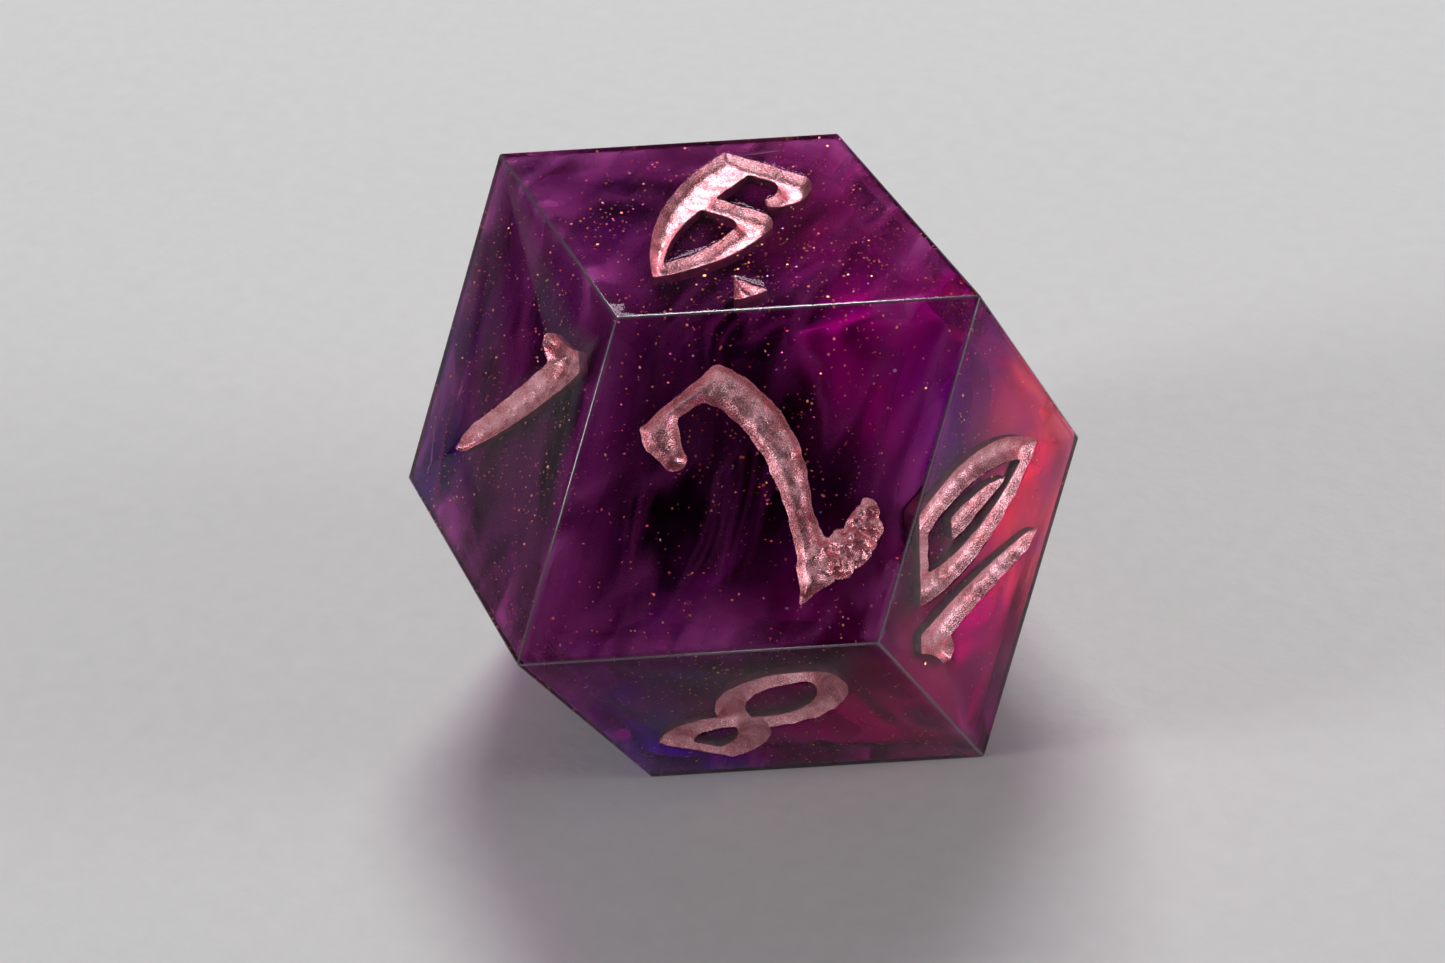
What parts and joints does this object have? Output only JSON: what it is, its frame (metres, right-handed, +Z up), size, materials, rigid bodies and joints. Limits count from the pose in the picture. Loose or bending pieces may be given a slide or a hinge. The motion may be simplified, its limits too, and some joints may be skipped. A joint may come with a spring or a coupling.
{
  "type": "polyhedral die",
  "caption": "Rhombic polyhedral gaming die cast in swirled translucent resin, with engraved numerals inked in metallic paint; it lies on any of its equal flat faces.",
  "frame": {"origin": "under the centre of the die, in the plane of the face that it lies on (seven)", "axes": "+Z up, square to the face with the six; +Y along the short diagonal of that face, the way the six reads; +X along its long diagonal"},
  "size_m": [0.018, 0.0254, 0.018],
  "materials": {
    "resin": "polished translucent epoxy resin, violet and magenta swirls with a coral corner and fine glitter",
    "paint": "rose-gold metallic acrylic paint, slightly lumpy"
  },
  "bodies": {
    "root": {"resin_body": "resin", "one_paint": "paint", "two_paint": "paint", "three_paint": "paint", "four_paint": "paint", "five_paint": "paint", "six_paint": "paint", "six_mark_paint": "paint", "seven_paint": "paint", "eight_paint": "paint", "nine_paint": "paint", "nine_mark_paint": "paint", "ten_one_paint": "paint", "ten_zero_ring_paint": "paint", "ten_zero_core_paint": "paint", "eleven_left_one_paint": "paint", "eleven_right_one_paint": "paint", "twelve_one_paint": "paint", "twelve_two_paint": "paint"}
  },
  "joints": []
}
